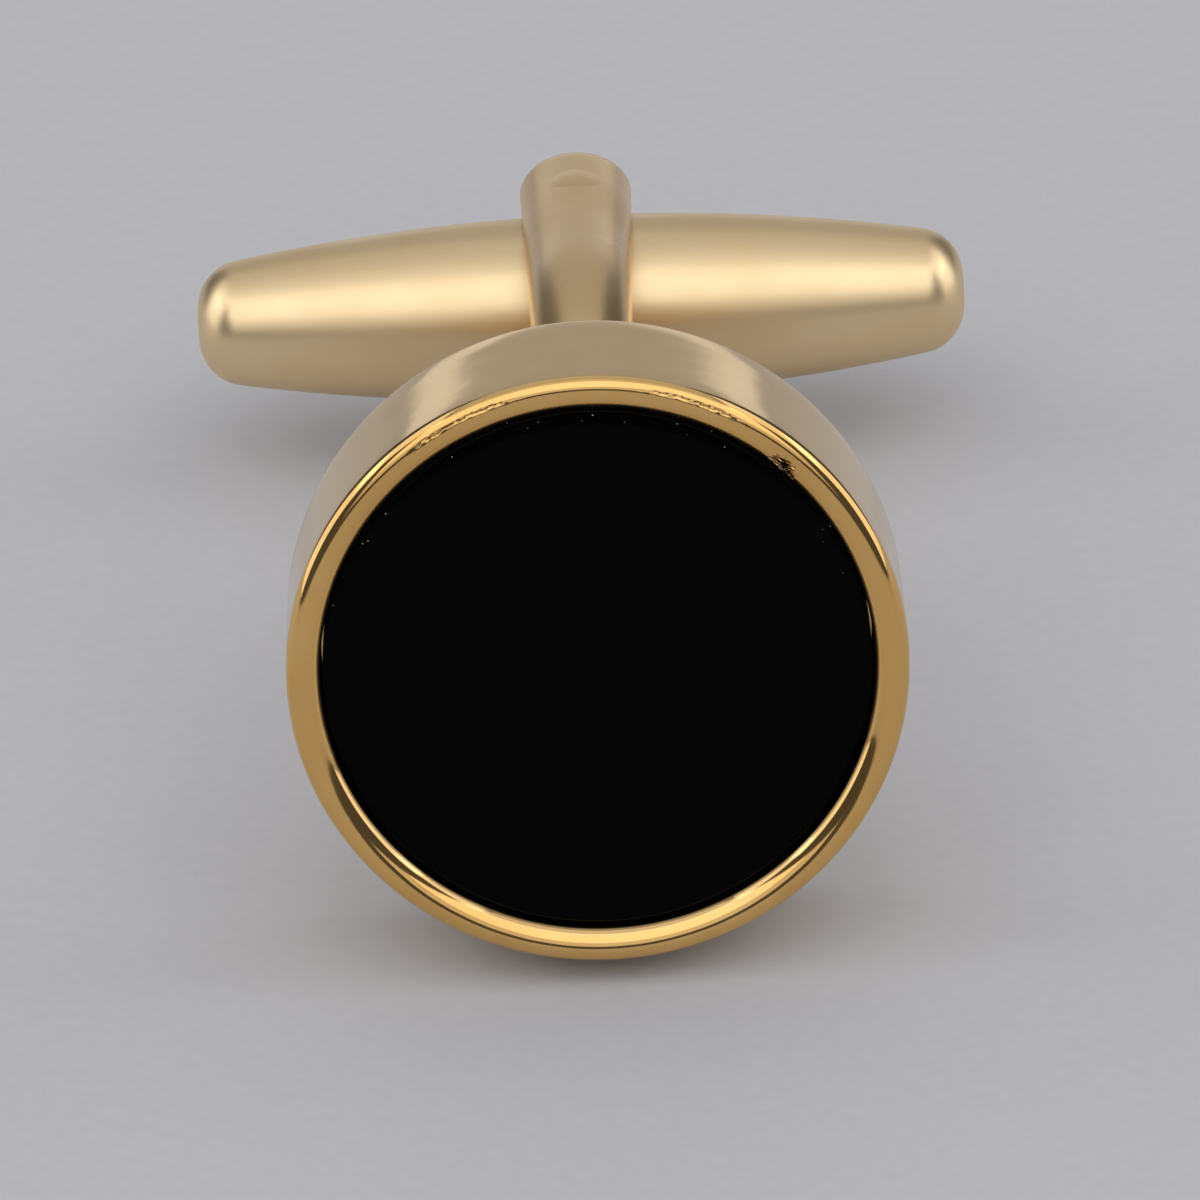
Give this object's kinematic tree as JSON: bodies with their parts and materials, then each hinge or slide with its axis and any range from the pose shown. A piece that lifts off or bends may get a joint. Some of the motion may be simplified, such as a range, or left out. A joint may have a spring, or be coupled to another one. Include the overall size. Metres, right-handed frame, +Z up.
{
  "type": "cufflink",
  "caption": "Round cufflink: a polished gold-tone drum holds a flat black onyx disc, and a barrel-shaped toggle turns in a forked post behind it to hold a shirt cuff shut.",
  "frame": {"origin": "centre of the footprint on the table, under the middle of the bounding box", "axes": "+Z up from the table that the link lies on, +Y from the face towards the toggle, X along the toggle; the post dips by the resting tilt of about 9 degrees towards +Y"},
  "size_m": [0.0184, 0.0294, 0.014],
  "materials": {
    "gold_polished": "gold plate on turned brass, mirror polished",
    "gold_satin": "gold plate on cast brass, tumbled to a soft satin",
    "pin_gold": "gold-plated brass rivet, set and polished flush",
    "onyx": "black onyx, flat lapped and polished",
    "cement": "cured clear epoxy",
    "spring_steel": "tempered spring steel"
  },
  "bodies": {
    "head": {"bezel_cup": "gold_polished", "back_plate": "gold_polished", "onyx_disc": "onyx", "stone_cement": "cement", "forked_post": "gold_satin", "hinge_pin": "pin_gold", "upper_friction_washer": "spring_steel", "lower_friction_washer": "spring_steel"},
    "toggle": {"toggle_bar": "gold_satin"}
  },
  "joints": [
    {"name": "toggle_swivel", "type": "hinge", "parent": "head", "child": "toggle", "pos_m": [0, 0.01134, 0.00354], "axis": [0, 0.1484, 0.9889], "continuous": true}
  ]
}
